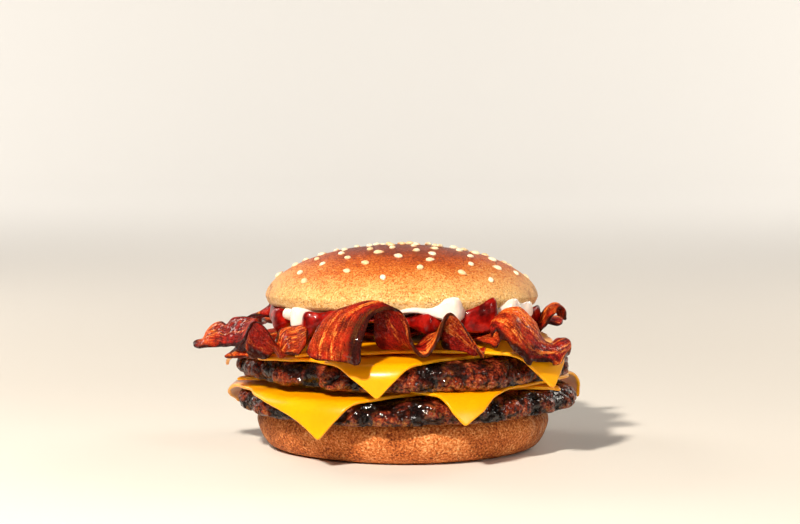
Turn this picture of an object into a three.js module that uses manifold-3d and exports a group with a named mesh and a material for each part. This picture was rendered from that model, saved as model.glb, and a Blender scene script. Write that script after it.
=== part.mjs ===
// A double cheeseburger with bacon, in millimetres: a sesame bun, two flame-grilled patties, two slices of
// cheese on each patty, wavy bacon, ketchup and mayonnaise.
// +Z is up and -Y is the front. The origin is the centre of the heel's flat underside.
// An azimuth is in degrees, counted from the front towards the right.

import * as THREE from "three";
import { mergeVertices } from "three/addons/utils/BufferGeometryUtils.js";
import Module from "manifold-3d";

const wasm = await Module();
wasm.setup();

// Driving dimensions
const GAP = 0.3; // air between two layers that rest on each other
const HEEL = { radius: 50.8, foot: 43, height: 16.5 };
const CROWN = { radius: 47.7, mouth: 44.6, brow: 3.4, dome: 17.9, base: 48.5, tilt: 3 };
const PATTY_RADIUS = 57.6;
const SLICE = { side: 94, thickness: 1.2, gap: 0.8, bend: 4.2 };
const STACK = 2 * (SLICE.thickness + GAP) + SLICE.gap; // two slices, the air round them and between them
const RASHER = { thickness: 1.6, width: 10, length: 50, rest: 1.15, level: 41, droop: 1.5, rise: 1.2 };
const SAG = { from: 34, slope: 0.12 }; // layers droop past the edge of the heel
const KETCHUP_RADIUS = 44.4;
const SAUCE_DEPTH = 3.6; // from the crown down to the underside of the ketchup
const SAUCE_GAP = 0.48; // how much wider a thing is cut out of the sauce round it
const SEED = { length: 3.5, width: 2.2, height: 1.5, count: 75 };

// Small helpers
const rad = THREE.MathUtils.degToRad;
const { lerp, clamp } = THREE.MathUtils;
const turn = (a, b) => ((((a - b) % 360) + 540) % 360) - 180; // degrees from b to a, the short way
const bump = (distance, half) => Math.exp(-((distance / half) ** 2));
const azimuthOf = (x, y) => THREE.MathUtils.radToDeg(Math.atan2(x, -y));
const ripple = (az, waves) =>
  waves.reduce((sum, [count, high, shift]) => sum + high * Math.sin(rad(count * az + shift)), 0);
const sumBumps = (az, bumps) =>
  bumps.reduce((sum, b) => sum + b.size * bump(turn(az, b.at), b.half), 0);
const onRim = (az, r, z) => new THREE.Vector3(r * Math.sin(rad(az)), -r * Math.cos(rad(az)), z);

// A repeatable number from 0 to 1 for each whole number and use.
function chance(index, use) {
  const wave = Math.sin(index * 12.9898 + use * 78.233) * 43758.5453;
  return wave - Math.floor(wave);
}

function meshGeometry(points, triangles) {
  const geometry = new THREE.BufferGeometry();
  geometry.setAttribute(
    "position",
    new THREE.Float32BufferAttribute(points.flatMap((p) => [p.x, p.y, p.z]), 3),
  );
  geometry.setIndex(triangles);
  return geometry;
}

const evenAzimuths = (count) => Array.from({ length: count }, (_, index) => (360 * index) / count);

// A closed round solid. profileAt(azimuth) gives [radius, height] pairs from the axis below, round the rim,
// to the axis above. The upper half of the profile is split into triangles as the lower half is.
function roundSolid(profileAt, azimuths) {
  const sides = azimuths.length;
  const profiles = azimuths.map(profileAt);
  const rings = profiles[0].length - 2;
  const points = [new THREE.Vector3(0, 0, profiles[0][0][1])];
  profiles.forEach((profile, side) => {
    for (const [r, z] of profile.slice(1, -1)) points.push(onRim(azimuths[side], r, z));
  });
  points.push(new THREE.Vector3(0, 0, profiles[0][rings + 1][1]));
  const top = points.length - 1;
  const at = (side, ring) => 1 + (side % sides) * rings + ring;
  const triangles = [];
  for (let side = 0; side < sides; side++) {
    triangles.push(0, at(side + 1, 0), at(side, 0));
    for (let ring = 0; ring < rings - 1; ring++) {
      const [a, b] = [at(side, ring), at(side + 1, ring)];
      if (ring < rings / 2 - 0.5) triangles.push(a, b, b + 1, a, b + 1, a + 1);
      else triangles.push(a, b, a + 1, b, b + 1, a + 1);
    }
    triangles.push(top, at(side, rings - 1), at(side + 1, rings - 1));
  }
  return meshGeometry(points, triangles);
}

// A thin closed solid round a surface. pointAt(u, v) gives the middle surface for u and v from 0 to 1, and
// both faces are split into triangles alike.
function sheetSolid(pointAt, cellsU, cellsV, thickness) {
  const step = 1e-3;
  const faces = [[], []];
  for (let i = 0; i <= cellsU; i++) {
    for (let j = 0; j <= cellsV; j++) {
      const [u, v] = [i / cellsU, j / cellsV];
      const middle = pointAt(u, v);
      const alongU = pointAt(Math.min(u + step, 1), v).sub(pointAt(Math.max(u - step, 0), v));
      const alongV = pointAt(u, Math.min(v + step, 1)).sub(pointAt(u, Math.max(v - step, 0)));
      const normal = alongU.cross(alongV).normalize().multiplyScalar(thickness / 2);
      faces[0].push(middle.clone().add(normal));
      faces[1].push(middle.clone().sub(normal));
    }
  }
  const count = faces[0].length;
  const at = (i, j) => i * (cellsV + 1) + j;
  const triangles = [];
  const quad = (a, b, c, d) => triangles.push(a, b, c, a, c, d);
  for (let i = 0; i < cellsU; i++) {
    for (let j = 0; j < cellsV; j++) {
      const [a, b, c, d] = [at(i, j), at(i + 1, j), at(i + 1, j + 1), at(i, j + 1)];
      quad(a, b, c, d);
      triangles.push(count + a, count + c, count + b, count + a, count + d, count + c);
    }
  }
  for (let i = 0; i < cellsU; i++) {
    quad(at(i, 0), count + at(i, 0), count + at(i + 1, 0), at(i + 1, 0));
    quad(at(i + 1, cellsV), count + at(i + 1, cellsV), count + at(i, cellsV), at(i, cellsV));
  }
  for (let j = 0; j < cellsV; j++) {
    quad(at(0, j + 1), count + at(0, j + 1), count + at(0, j), at(0, j));
    quad(at(cellsU, j), count + at(cellsU, j), count + at(cellsU, j + 1), at(cellsU, j + 1));
  }
  return meshGeometry([...faces[0], ...faces[1]], triangles);
}

function toSolid(geometry) {
  const bare = geometry.clone();
  bare.deleteAttribute("normal");
  bare.deleteAttribute("uv");
  const merged = mergeVertices(bare, 1e-4);
  return new wasm.Manifold(
    new wasm.Mesh({
      numProp: 3,
      vertProperties: merged.attributes.position.array,
      triVerts: new Uint32Array(merged.index.array),
    }),
  );
}

function toGeometry(solid) {
  const mesh = solid.getMesh();
  const geometry = new THREE.BufferGeometry();
  geometry.setAttribute("position", new THREE.BufferAttribute(mesh.vertProperties, 3));
  geometry.setIndex(new THREE.BufferAttribute(mesh.triVerts, 1));
  return geometry;
}

const largestPiece = (solid) => solid.decompose().sort((a, b) => b.volume() - a.volume())[0];

const sag = (r) => -SAG.slope * Math.max(r - SAG.from, 0);

// Heel: a low round bun half with a flat foot, a bulging side and a cut top.
const heelWaves = [
  [2, 0.5, 30],
  [5, 0.25, 80],
];

function heelGeometry() {
  const { radius, foot, height } = HEEL;
  return roundSolid((az) => {
    const out = ripple(az, heelWaves);
    const shoulder = radius - 5.6 + out;
    return [
      [0, 0],
      [foot + out, 0],
      [foot + 3.6 + out, 1.2],
      [radius - 1.6 + out, 4.4],
      [radius + out, 9],
      [radius - 0.6 + out, 12],
      [radius - 2.6 + out, 14.3],
      [shoulder, height + sag(shoulder)],
      [SAG.from, height],
      [0, height],
    ];
  }, evenAzimuths(36));
}

// Patties: rough discs, drooping past the heel, thicker towards one azimuth, with lobes on the rim and
// notches from the bars of the grill.
const NOTCH = { deep: 1.9, half: 4.5 };

const lowerPatty = {
  thickness: 7.4,
  wedge: { slope: 0.006, azimuth: 70 },
  waves: [
    [2, 0.7, 120],
    [3, 0.6, 200],
  ],
  lobes: [
    { at: 82, half: 12, size: 2.6 },
    { at: -84, half: 16, size: 1.2 },
  ],
  notches: [-172, -148, -118, -92, -66, -47, -13, 7, 31, 52, 71, 96, 124, 151],
  base: () => HEEL.height + GAP,
};

const upperPatty = {
  thickness: 7.5,
  wedge: { slope: 0.022, azimuth: 30 },
  waves: [
    [2, 0.6, 10],
    [3, 0.7, 80],
  ],
  lobes: [
    { at: 72, half: 16, size: 1.4 },
    { at: -100, half: 20, size: 0.8 },
  ],
  notches: [-160, -131, -104, -78, -55, -36, -17, 12, 38, 63, 88, 113, 139, 166],
  base: (r, az) => flatTop(lowerPatty, r, az) + STACK,
};

// Top of a patty before it sags: a plane, as the patty is thicker on one side.
function flatTop(patty, r, az) {
  const { slope, azimuth } = patty.wedge;
  return patty.base(r, az) + patty.thickness + slope * r * Math.cos(rad(az - azimuth));
}

const pattyLumps = [
  [8, 0.4, 210],
  [13, 0.35, 20],
];
const topOf = (patty, r, az) => flatTop(patty, r, az) + sag(r);
const rimOf = (patty, az) => PATTY_RADIUS + ripple(az, patty.waves) + sumBumps(az, patty.lobes);

function pattyGeometry(patty) {
  // Share of the rim radius and of the thickness, and how far the crags reach there.
  const levels = [
    [0.955, 0, 0.3],
    [0.99, 0.18, 1],
    [0.995, 0.5, 1],
    [0.98, 0.8, 1],
    [0.93, 1, 0],
  ];
  return roundSolid((az) => {
    const rim = rimOf(patty, az) + ripple(az, pattyLumps);
    const cut = patty.notches.reduce((sum, at) => sum + NOTCH.deep * bump(turn(az, at), NOTCH.half), 0);
    const side = levels.map(([share, up, rough], level) => {
      const crag = 0.6 * Math.sin(rad(az * 17 + level * 140)) * Math.sin(rad(az * 5 + level * 75));
      const r = rim * share + rough * (crag - cut);
      return [r, lerp(patty.base(r, az), flatTop(patty, r, az), up) + sag(r)];
    });
    const { from } = SAG;
    return [
      [0, patty.base(0, az)],
      [from, patty.base(from, az)],
      ...side,
      [from, flatTop(patty, from, az)],
      [0, flatTop(patty, 0, az)],
    ];
  }, evenAzimuths(66));
}

// Cheese: a square slice lies on its patty and folds down over the rim, where its corners hang.
// layer is 0 for the lower slice and 1 for the one on it, corner is the azimuth of one corner, and shift
// is how far the slice lies off centre. melt lists where its edge has run out or folded back.
function squareReach(az, corner, shift) {
  const edges = [45, 135, 225, 315].map((quarter) => {
    const face = rad(corner + quarter);
    const along = shift[0] * Math.sin(face) - shift[1] * Math.cos(face);
    return (SLICE.side / 2 + along) / Math.max(Math.cos(rad(az) - face), 1e-6);
  });
  return Math.min(...edges);
}

// Azimuths round a slice, corners included and closer together near them.
function squareAzimuths(corner, shift, steps) {
  const half = SLICE.side * Math.SQRT1_2;
  const corners = [0, 90, 180, 270].map((quarter) => {
    const p = onRim(corner + quarter, half, 0);
    return azimuthOf(p.x + shift[0], p.y + shift[1]);
  });
  return corners.flatMap((from, index) => {
    const span = (turn(corners[(index + 1) % 4], from) + 360) % 360;
    const share = (t) => t - (0.5 * Math.sin(2 * Math.PI * t)) / (2 * Math.PI);
    return Array.from({ length: steps }, (_, step) => from + span * share(step / steps));
  });
}

const foldRadius = (patty, az) => rimOf(patty, az) - 2.1; // where a slice starts to fold over the rim

function cheeseGeometry(patty, { layer, corner, shift, hang, melt }) {
  const lift = GAP + layer * (SLICE.thickness + SLICE.gap);
  const arc = SLICE.bend * rad(hang);
  const draped = (az, flat, high) => {
    const start = foldRadius(patty, az);
    const past = Math.max(flat - start, 0);
    const bent = Math.min(past, arc) / SLICE.bend;
    const free = Math.max(past - arc, 0);
    const r = Math.min(flat, start) + (SLICE.bend + high) * Math.sin(bent) + free * Math.cos(bent);
    const drop = SLICE.bend - (SLICE.bend + high) * Math.cos(bent) + free * Math.sin(bent);
    return [r, topOf(patty, Math.min(flat, start), az) - drop];
  };
  return roundSolid((az) => {
    const start = foldRadius(patty, az);
    const reach = squareReach(az, corner, shift) + sumBumps(az, melt);
    const wanted = [SAG.from, start, start + arc * 0.5, start + arc, reach];
    const rings = wanted.map((flat, ring) => Math.min(flat, reach - 0.7 * (wanted.length - 1 - ring)));
    const face = (high) => [0, ...rings].map((flat) => draped(az, flat, high));
    return [...face(lift), ...face(lift + SLICE.thickness).reverse()];
  }, squareAzimuths(corner, shift, 9));
}

const cheeses = {
  cheese_lower_under: [
    lowerPatty,
    {
      layer: 0,
      corner: -19.5,
      shift: [-9.2, -1.3],
      hang: 80,
      melt: [
        { at: -110, half: 12, size: -9 },
        { at: -52, half: 14, size: 2.6 },
      ],
    },
  ],
  cheese_lower_over: [
    lowerPatty,
    {
      layer: 1,
      corner: 11,
      shift: [8.2, 3],
      hang: 76,
      melt: [
        { at: 99, half: 12, size: -9 },
        { at: 62, half: 16, size: 2 },
      ],
    },
  ],
  cheese_upper_under: [
    upperPatty,
    {
      layer: 0,
      corner: -5,
      shift: [-3.6, -2.1],
      hang: 80,
      melt: [
        { at: -97, half: 12, size: -6.5 },
        { at: -55, half: 14, size: 4.5 },
        { at: 33, half: 12, size: 3 },
        { at: 84, half: 12, size: -7 },
      ],
    },
  ],
  cheese_upper_over: [
    upperPatty,
    {
      layer: 1,
      corner: 48,
      shift: [3.8, 0],
      hang: 70,
      melt: [
        { at: -40, half: 12, size: -8 },
        { at: -68, half: 14, size: 6 },
      ],
    },
  ],
};

// The bacon rests on the cheese, and under the bun it is pressed flat by the sauces. Past the rim of the
// patty it may hang lower, and past the rim of the sauces it may rise.
const bedAt = (x, y) => {
  const r = Math.hypot(x, y);
  const top = topOf(upperPatty, Math.min(r, PATTY_RADIUS), azimuthOf(x, y));
  return top + STACK - RASHER.droop * Math.max(r - PATTY_RADIUS, 0);
};
const ceilingAt = (x, y) => {
  const lid = CROWN.base - y * Math.tan(rad(CROWN.tilt)) - SAUCE_DEPTH;
  return lid + RASHER.rise * Math.max(Math.hypot(x, y) - KETCHUP_RADIUS, 0);
};

// Stations of a ribbon that waves along an arc. Its path bows out from the line between two points, and its
// two edges, which lie across the path, rise and fall in opposite phase.
function ruffle({ start, end, bow, width, waves, high, count }) {
  const from = new THREE.Vector3(...start, 0);
  const ahead = new THREE.Vector3(...end, 0).sub(from);
  const length = ahead.length();
  ahead.normalize();
  const aside = new THREE.Vector3(-ahead.y, ahead.x, 0);
  return Array.from({ length: count }, (_, index) => {
    const t = index / (count - 1);
    const middle = from
      .clone()
      .addScaledVector(ahead, length * t)
      .addScaledVector(aside, bow * Math.sin(Math.PI * t));
    const lean = (bow * Math.PI * Math.cos(Math.PI * t)) / length;
    const across = aside.clone().addScaledVector(ahead, -lean).normalize();
    const lift = high * Math.cos(2 * Math.PI * waves * t);
    const reach = 0.5 * Math.sqrt(width ** 2 - lift ** 2);
    const level = RASHER.level + 0.4 * high * Math.sin(4 * Math.PI * waves * t);
    const outer = middle.clone().addScaledVector(across, -reach);
    const inner = middle.clone().addScaledVector(across, reach);
    return [outer.x, outer.y, level + lift / 2, inner.x, inner.y, level - lift / 2];
  });
}

// Bacon: each rasher is a ribbon. A station gives its outer edge's and its inner edge's x, y and height.
// camber arches the ribbon across its width, most at the share that crest gives, and sag takes from it where
// the ribbon hangs through. cells is how many facets lie between two stations, and across over its width.
const rashers = {
  bacon_front_left: {
    cells: 1.5,
    across: 3,
    camber: 1,
    sag: { at: 0.78, half: 0.05, deep: 5 },
    crest: 0.5,
    stations: [
      [-72, -15, 35.1, -72.2, -8, 36.3],
      [-69.1, -18, 36, -68.4, -9, 37.1],
      [-66.5, -20, 36.4, -66.9, -10, 40.7],
      [-64, -22, 36.6, -64.4, -12, 43.3],
      [-61.8, -24, 36.9, -61.8, -14, 44.1],
      [-59.6, -27, 37.2, -59.6, -19, 43.8],
      [-57.4, -30, 37.6, -57.8, -19, 46],
      [-55.2, -33, 38.1, -54.9, -22, 46.8],
      [-53.3, -36, 39.7, -51.9, -26, 46.9],
      [-51.7, -38.5, 43, -49.7, -29, 46.6],
      [-50, -41, 46.2, -48.5, -32, 45.9],
      [-48.1, -43, 47.3, -51.9, -37.5, 39.2],
      [-46.2, -44.5, 46.3, -51.4, -39.5, 36.1],
      [-44.5, -45.5, 44.4, -48.3, -41.5, 35.3],
      [-42.8, -46.5, 41.9, -45, -43, 35.5],
      [-40.8, -47, 39.3, -42.5, -40, 40.1],
      [-38.5, -48, 37.6, -41.7, -35, 43.6],
      [-36.5, -48.5, 37, -39.8, -33, 44.3],
      [-34.5, -48.5, 37.3, -36.8, -32, 44.6],
      [-32.9, -47.5, 38.7, -34.5, -32, 44.9],
      [-31.3, -46, 40.2, -32.1, -32, 45.2],
    ],
  },
  bacon_front: {
    cells: 2.2,
    across: 3,
    camber: 1,
    crest: 0.5,
    stations: [
      [-14, -66, 34.5, -31.5, -60, 36.6],
      [-13, -65.5, 42.6, -30.5, -59, 43],
      [-10.5, -61.5, 49.8, -25.5, -55, 50.4],
      [-7.5, -59, 52.4, -17.5, -52, 53.6],
      [-4, -58, 53.4, -10, -50.5, 53.8],
      [-1, -58, 52.4, -9, -48.5, 42.2],
      [1.5, -58.5, 48.6, -6, -49, 38.4],
      [3, -59, 43, -1.5, -49, 37.8],
      [5, -59, 38.4, 4, -46.5, 39.2],
      [8, -59, 37.8, 8.5, -45.5, 44],
      [11, -58, 42.6, 11.5, -45.5, 43.8],
      [13.3, -57, 49.3, 12.5, -48, 42.1],
      [15.3, -56.5, 51.9, 13.4, -50, 39.3],
      [17.9, -56, 50, 16, -51, 38.5],
      [20.2, -55.5, 46.9, 19.3, -52.5, 37.7],
      [22.8, -55, 42.2, 22.5, -53.5, 36.8],
      [25.1, -54.5, 37.9, 25.5, -51, 36.5],
      [26.4, -54, 36.1, 27.6, -48, 38.8],
    ],
  },
  bacon_front_right: {
    cells: 3,
    across: 3,
    camber: 3.2,
    crest: 0.3,
    stations: [
      [28, -52, 43.2, 31, -43, 47.2],
      [31.5, -54, 43.6, 33.5, -44, 51],
      [34.5, -55, 41.6, 37, -43.5, 52.2],
      [37.5, -54, 37.6, 40.5, -42, 50.8],
      [41, -51.5, 34.8, 43.5, -39.5, 46.8],
      [44.5, -48, 33.2, 46.5, -36.5, 41.2],
      [49.2, -43.8, 33, 49.5, -32, 38.4],
      [54, -37.2, 33.6, 52, -25.5, 39.4],
      [57, -29.5, 35.4, 54, -19.5, 37.8],
    ],
  },
  bacon_across_front: {
    cells: 3,
    across: 2,
    camber: 0.8,
    crest: 0.5,
    stations: [
      [-32, -26, 40, -30, -14, 40.6],
      [-19, -29, 42, -18, -15, 41.6],
      [-6, -31, 40, -5, -17, 40.4],
      [7, -33, 42.2, 8, -20, 41.6],
      [18, -36, 40.6, 20, -24, 41],
      [26, -41, 40.6, 29, -31, 44.6],
      [31, -46.5, 38.6, 36, -37, 45.6],
    ],
  },
  bacon_across_middle: {
    cells: 2.4,
    across: 2,
    camber: 0.8,
    crest: 0.5,
    stations: [
      [-47.5, -35.5, 33.6, -61, -28.5, 33.6],
      [-46.5, -30, 37, -58, -21.5, 35],
      [-42, -19, 39, -51, -9, 39.4],
      [-31, -10.5, 41.2, -33, 3, 40.6],
      [-19, -9, 39.4, -20, 5, 39.4],
      [-7, -9.2, 42, -7, 5, 41.5],
      [7, -9.5, 39.6, 7, 4.5, 39.6],
      [21, -9.5, 42.2, 21, 4.5, 41.5],
      [34, -11, 39.8, 34, 2.5, 40],
      [43, -13, 39.4, 42.5, -1, 40],
      [48, -13.4, 41.5, 47, -2, 44],
      [51.5, -13.4, 47.2, 50, -2.5, 48],
      [54.8, -13, 48.2, 52.5, -2.5, 48.5],
      [56.2, -12.5, 44, 54, -2.5, 44.5],
    ],
  },
  bacon_across_back: {
    cells: 1.4,
    across: 2,
    camber: 0.8,
    crest: 0.5,
    stations: ruffle({
      start: [-50, 16],
      end: [57, 17],
      bow: 3,
      width: 14,
      waves: 4.5,
      high: 2.5,
      count: 19,
    }),
  },
  bacon_back_right: {
    cells: 2.4,
    across: 2,
    camber: 0.8,
    crest: 0.5,
    stations: ruffle({
      start: [53, 31],
      end: [2, 54],
      bow: -9,
      width: 13,
      waves: 3,
      high: 9,
      count: 13,
    }),
  },
  bacon_back_left: {
    cells: 2.4,
    across: 2,
    camber: 0.8,
    crest: 0.5,
    stations: ruffle({
      start: [-5, 53],
      end: [-52, 31],
      bow: -9,
      width: 13,
      waves: 2.75,
      high: 9,
      count: 13,
    }),
  },
};

// Uniform Catmull-Rom interpolation of a row of stations, at t from 0 to 1.
function alongStations(stations, t) {
  const last = stations.length - 1;
  const index = clamp(Math.floor(t * last), 0, last - 1);
  const f = t * last - index;
  const at = (k) => stations[clamp(k, 0, last)];
  const [p0, p1, p2, p3] = [at(index - 1), at(index), at(index + 1), at(index + 2)];
  return p1.map(
    (_, k) =>
      0.5 *
      (2 * p1[k] +
        (p2[k] - p0[k]) * f +
        (2 * p0[k] - 5 * p1[k] + 4 * p2[k] - p3[k]) * f * f +
        (3 * p1[k] - p0[k] - 3 * p2[k] + p3[k]) * f * f * f),
  );
}

function rasherPoint({ camber, sag, crest, stations }, t, s) {
  const edges = alongStations(stations, t);
  const point = new THREE.Vector3(...edges.slice(0, 3)).lerp(new THREE.Vector3(...edges.slice(3)), s);
  const q = clamp(s, 0, 1) ** (Math.log(0.5) / Math.log(crest));
  const arch = camber - (sag ? sag.deep * bump(t - sag.at, sag.half) : 0);
  point.z += arch * 4 * q * (1 - q);
  point.z = Math.min(point.z, ceilingAt(point.x, point.y) - RASHER.rest);
  point.z = Math.max(point.z, bedAt(point.x, point.y) + RASHER.rest);
  return point;
}

// clearance makes the ribbon thicker on both faces, wider at both edges and longer at both ends.
function rasherGeometry(rasher, clearance) {
  const cells = Math.round(rasher.cells * (rasher.stations.length - 1));
  const wider = clearance / RASHER.width;
  const longer = clearance / RASHER.length;
  const point = (s, t) => rasherPoint(rasher, lerp(-longer, 1 + longer, t), lerp(-wider, 1 + wider, s));
  return sheetSolid(point, rasher.across, cells, RASHER.thickness + 2 * clearance);
}

// The crown and the sauces under it lie tilted back, so that the front shows the filling.
function onLid(geometry) {
  return geometry.rotateX(-rad(CROWN.tilt)).translate(0, 0, CROWN.base);
}

const crownWaves = [
  [2, 0.4, 60],
  [3, 0.35, 10],
  [7, 0.15, 0],
];
const domeHeight = (share) => CROWN.brow + CROWN.dome * (1 - share ** 2) ** 0.56;

function crownGeometry(clearance) {
  const { radius, mouth, brow } = CROWN;
  const shares = [0.98, 0.93, 0.84, 0.71, 0.54, 0.34, 0.15];
  return roundSolid((az) => {
    const out = ripple(az, crownWaves) + clearance;
    return [
      [0, -clearance],
      [mouth + out, -clearance],
      [mouth + 1.9 + out, 1],
      [radius + out, brow],
      ...shares.map((share) => [(radius + out) * share, domeHeight(share) + clearance]),
      [0, domeHeight(0) + clearance],
    ];
  }, evenAzimuths(36));
}

// One sesame seed: a flat teardrop along +X, resting half sunk in the crust.
function seedGeometry() {
  const profile = [
    [0, -0.5],
    [0.5, -0.05],
    [0, 0.5],
  ].map(([r, along]) => new THREE.Vector2(r, along));
  const seed = new THREE.LatheGeometry(profile, 6);
  seed.rotateZ(-Math.PI / 2);
  return seed.scale(SEED.length, SEED.width, SEED.height);
}

// Seeds follow a golden-angle spiral over the dome, closer together near its top, each moved and turned
// a little by chance.
function seedPlaces() {
  return Array.from({ length: SEED.count }, (_, index) => {
    const az = index * 137.508 + 14 * (chance(index, 1) - 0.5);
    const share = 0.94 * ((index + 0.5 + 0.7 * chance(index, 2)) / (SEED.count + 1)) ** 0.66;
    return { az, share, spin: 360 * chance(index, 3), size: 0.86 + 0.28 * chance(index, 4) };
  });
}

function crownWithSeeds() {
  const seed = seedGeometry();
  const onDome = (az, share) =>
    onRim(az, (CROWN.radius + ripple(az, crownWaves)) * share, domeHeight(share));
  const seeds = seedPlaces().map(({ az, share, spin, size }) => {
    const outwards = onDome(az, share + 0.02).sub(onDome(az, share - 0.02));
    const normal = outwards.cross(onDome(az + 2, share).sub(onDome(az - 2, share))).normalize();
    if (normal.z < 0) normal.negate();
    const place = new THREE.Matrix4().compose(
      onDome(az, share).addScaledVector(normal, 0.12 * SEED.height),
      new THREE.Quaternion()
        .setFromUnitVectors(new THREE.Vector3(0, 0, 1), normal)
        .multiply(new THREE.Quaternion().setFromAxisAngle(new THREE.Vector3(0, 0, 1), rad(spin))),
      new THREE.Vector3(size, size, size),
    );
    return toSolid(seed.clone().applyMatrix4(place));
  });
  const bun = toSolid(crownGeometry(0));
  return onLid(toGeometry(wasm.Manifold.union([bun, ...seeds])));
}

// Sauces: a thin bed under the crown whose rim bulges, climbs the bun and runs down in drips.
const mayonnaise = {
  top: -0.45,
  bottom: -1.7,
  radius: 42.8,
  drips: [
    { at: -49, half: 5.5, drop: 5.4, out: 6.6, rise: 1.4 },
    { at: -59, half: 5, drop: 1.6, out: 4.4, rise: 0.6 },
    { at: -14, half: 9, drop: -0.8, out: 4.4, rise: 1.2 },
    { at: 4, half: 9, drop: -1.8, out: 5, rise: 2.2 },
    { at: 20, half: 8, drop: 1.6, out: 7.2, rise: 5.6 },
    { at: 50, half: 9, drop: 1.4, out: 6.2, rise: 4.4 },
    { at: 66, half: 8, drop: 1.6, out: 5.4, rise: 2.6 },
    { at: 112, half: 9, drop: 4.2, out: 5.6, rise: 1.6 },
    { at: 158, half: 12, drop: 1.6, out: 4.8, rise: 2.6 },
    { at: -128, half: 9, drop: 3.6, out: 5.4, rise: 2 },
  ],
};

const ketchup = {
  top: -2.2,
  bottom: -SAUCE_DEPTH,
  radius: KETCHUP_RADIUS,
  drips: [
    { at: -68, half: 8, drop: 4.4, out: 2.6, rise: 2.2 },
    { at: -43, half: 4.5, drop: 6.4, out: 4.2, rise: 1.6 },
    { at: -30, half: 8, drop: 0.8, out: 2.2, rise: 2.6 },
    { at: 10, half: 7, drop: 3.6, out: 3.6, rise: 2.6 },
    { at: 30, half: 7, drop: 3.4, out: 4, rise: 3 },
    { at: 38, half: 5, drop: 2, out: 4.6, rise: 6 },
    { at: 84, half: 9, drop: 2.6, out: 3.2, rise: 2.6 },
    { at: 136, half: 9, drop: 3, out: 3.4, rise: 2.2 },
    { at: -165, half: 10, drop: 2.6, out: 3.4, rise: 2.4 },
    { at: -100, half: 9, drop: 2.8, out: 3, rise: 2.2 },
  ],
};

const sauceWaves = [[9, 0.4, 30]];

function sauceGeometry(sauce, clearance) {
  const total = (az, key) =>
    sauce.drips.reduce((sum, drip) => sum + drip[key] * bump(turn(az, drip.at), drip.half), 0);
  return onLid(
    roundSolid((az) => {
      const [drop, out, rise] = ["drop", "out", "rise"].map((key) => total(az, key));
      const [top, bottom] = [sauce.top + clearance, sauce.bottom - clearance];
      const rim = sauce.radius + out + ripple(az, sauceWaves) + clearance;
      return [
        [0, bottom],
        [sauce.radius - 4, bottom],
        [rim - 2.6, bottom - 0.75 * drop],
        [rim - 1.1, bottom - drop],
        [rim, bottom - 0.7 * drop + 0.4],
        [rim + 0.1, lerp(bottom - drop, top + rise, 0.6)],
        [rim - 1.0, top + rise],
        [sauce.radius - 3, top],
        [0, top],
      ];
    }, evenAzimuths(40)),
  );
}

// The sauces flow round what touches them: each is cut by its neighbours, grown by a gap.
function buildSauces() {
  const bun = toSolid(onLid(crownGeometry(SAUCE_GAP)));
  const bacon = Object.values(rashers).map((rasher) => toSolid(rasherGeometry(rasher, SAUCE_GAP)));
  const white = toSolid(sauceGeometry(mayonnaise, 0)).subtract(wasm.Manifold.union([bun, ...bacon]));
  const around = [bun, toSolid(sauceGeometry(mayonnaise, SAUCE_GAP)), ...bacon];
  const red = toSolid(sauceGeometry(ketchup, 0)).subtract(wasm.Manifold.union(around));
  return { mayonnaise: toGeometry(largestPiece(white)), ketchup: toGeometry(largestPiece(red)) };
}

const materials = {
  crust: new THREE.MeshStandardMaterial({ color: 0xc4772f, roughness: 0.45, metalness: 0 }),
  bread: new THREE.MeshStandardMaterial({ color: 0xb9743c, roughness: 0.85, metalness: 0 }),
  beef: new THREE.MeshStandardMaterial({ color: 0x4a2015, roughness: 0.5, metalness: 0 }),
  cheese: new THREE.MeshStandardMaterial({ color: 0xf5ac12, roughness: 0.35, metalness: 0 }),
  bacon: new THREE.MeshStandardMaterial({ color: 0x8e2a17, roughness: 0.35, metalness: 0 }),
  ketchup: new THREE.MeshStandardMaterial({ color: 0x8c120c, roughness: 0.15, metalness: 0 }),
  mayonnaise: new THREE.MeshStandardMaterial({ color: 0xf3dfc8, roughness: 0.25, metalness: 0 }),
};

const burger = new THREE.Group();

function addPiece(name, geometry, material) {
  const mesh = new THREE.Mesh(geometry, material);
  mesh.name = name;
  burger.add(mesh);
}

addPiece("bun_heel", heelGeometry(), materials.bread);
addPiece("patty_lower", pattyGeometry(lowerPatty), materials.beef);
addPiece("patty_upper", pattyGeometry(upperPatty), materials.beef);
for (const [name, [patty, slice]] of Object.entries(cheeses)) {
  addPiece(name, cheeseGeometry(patty, slice), materials.cheese);
}
for (const [name, rasher] of Object.entries(rashers)) {
  addPiece(name, rasherGeometry(rasher, 0), materials.bacon);
}
const sauces = buildSauces();
addPiece("ketchup", sauces.ketchup, materials.ketchup);
addPiece("mayonnaise", sauces.mayonnaise, materials.mayonnaise);
addPiece("bun_crown", crownWithSeeds(), materials.crust);

export default burger;
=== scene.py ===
"""A double cheeseburger with bacon. Shapes are worked out in millimetres, +Z up and -Y the front,
and put in as metres. An azimuth is in degrees, counted from the front towards the right."""

import math

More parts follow.
